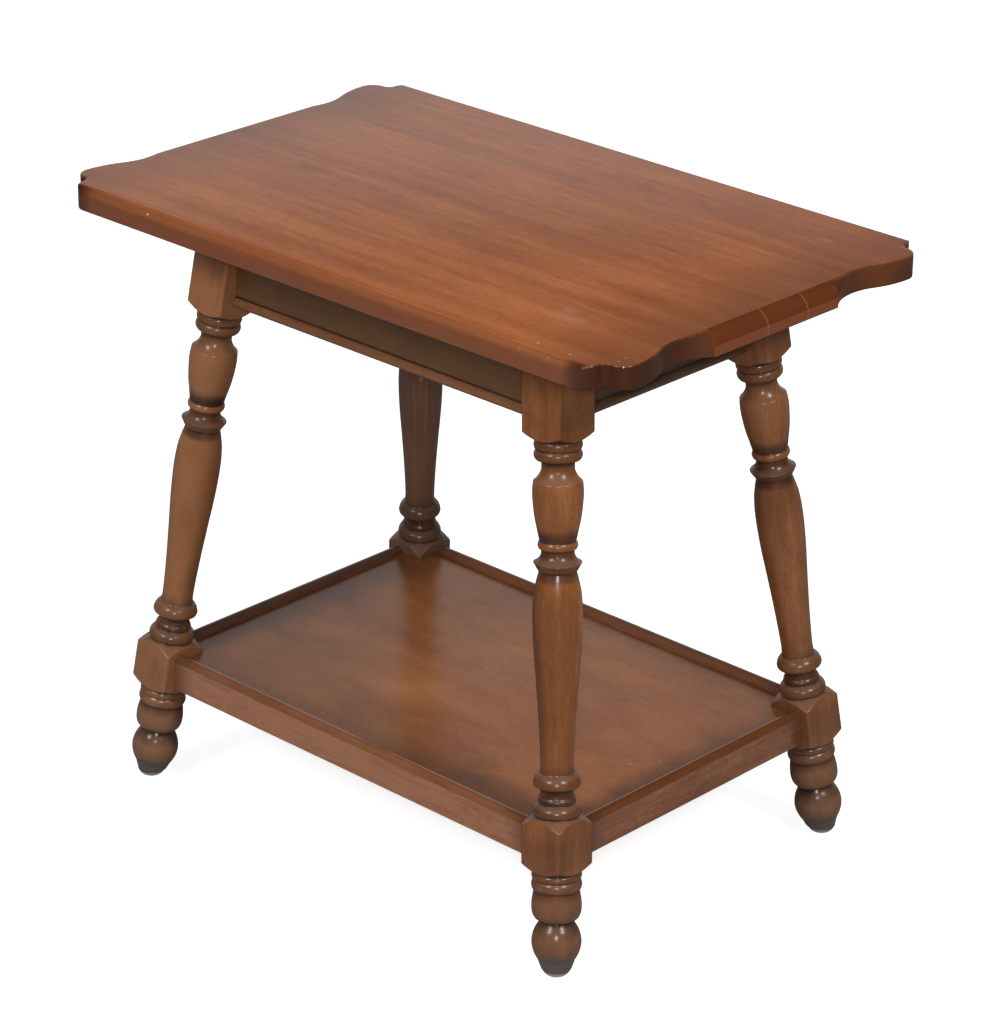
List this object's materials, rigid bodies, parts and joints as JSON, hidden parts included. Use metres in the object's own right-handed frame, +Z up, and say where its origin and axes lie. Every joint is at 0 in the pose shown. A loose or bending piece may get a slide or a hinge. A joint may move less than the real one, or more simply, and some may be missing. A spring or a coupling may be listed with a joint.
{
  "type": "end table with shelf",
  "caption": "Small end table with a shaped top, splayed turned legs, a beaded apron and a low railed shelf.",
  "frame": {"origin": "on the floor, under the middle of the top", "axes": "+X along the length of the top to the right as seen from the front, +Y to the back, +Z up"},
  "size_m": [0.638, 0.402, 0.56],
  "materials": {
    "top_maple": "satin lacquer over brown stain",
    "leg_maple": "satin lacquer, dark glaze in the grooves",
    "frame_maple": "satin lacquer over brown stain",
    "shelf_maple": "satin lacquer over brown stain",
    "plain_wood": "bare sanded wood",
    "zinc_steel": "zinc plated",
    "nickel_steel": "nickel plated, dulled by use"
  },
  "bodies": {
    "root": {"top_board_1": "top_maple", "top_board_2": "top_maple", "top_board_3": "top_maple", "top_board_4": "top_maple", "top_board_5": "top_maple", "leg_front_left": "leg_maple", "leg_front_right": "leg_maple", "leg_back_left": "leg_maple", "leg_back_right": "leg_maple", "apron_front": "frame_maple", "apron_back": "frame_maple", "apron_left": "frame_maple", "apron_right": "frame_maple", "bead_front": "frame_maple", "bead_back": "frame_maple", "bead_left": "frame_maple", "bead_right": "frame_maple", "rail_front": "frame_maple", "rail_back": "frame_maple", "rail_left": "frame_maple", "rail_right": "frame_maple", "shelf_panel": "shelf_maple", "brace_front_left": "plain_wood", "brace_front_right": "plain_wood", "brace_back_left": "plain_wood", "brace_back_right": "plain_wood", "apron_dowels": "plain_wood", "rail_dowels": "plain_wood", "apron_screws": "zinc_steel", "top_screws": "zinc_steel", "glide_front_left": "nickel_steel", "glide_front_right": "nickel_steel", "glide_back_left": "nickel_steel", "glide_back_right": "nickel_steel"}
  },
  "joints": []
}
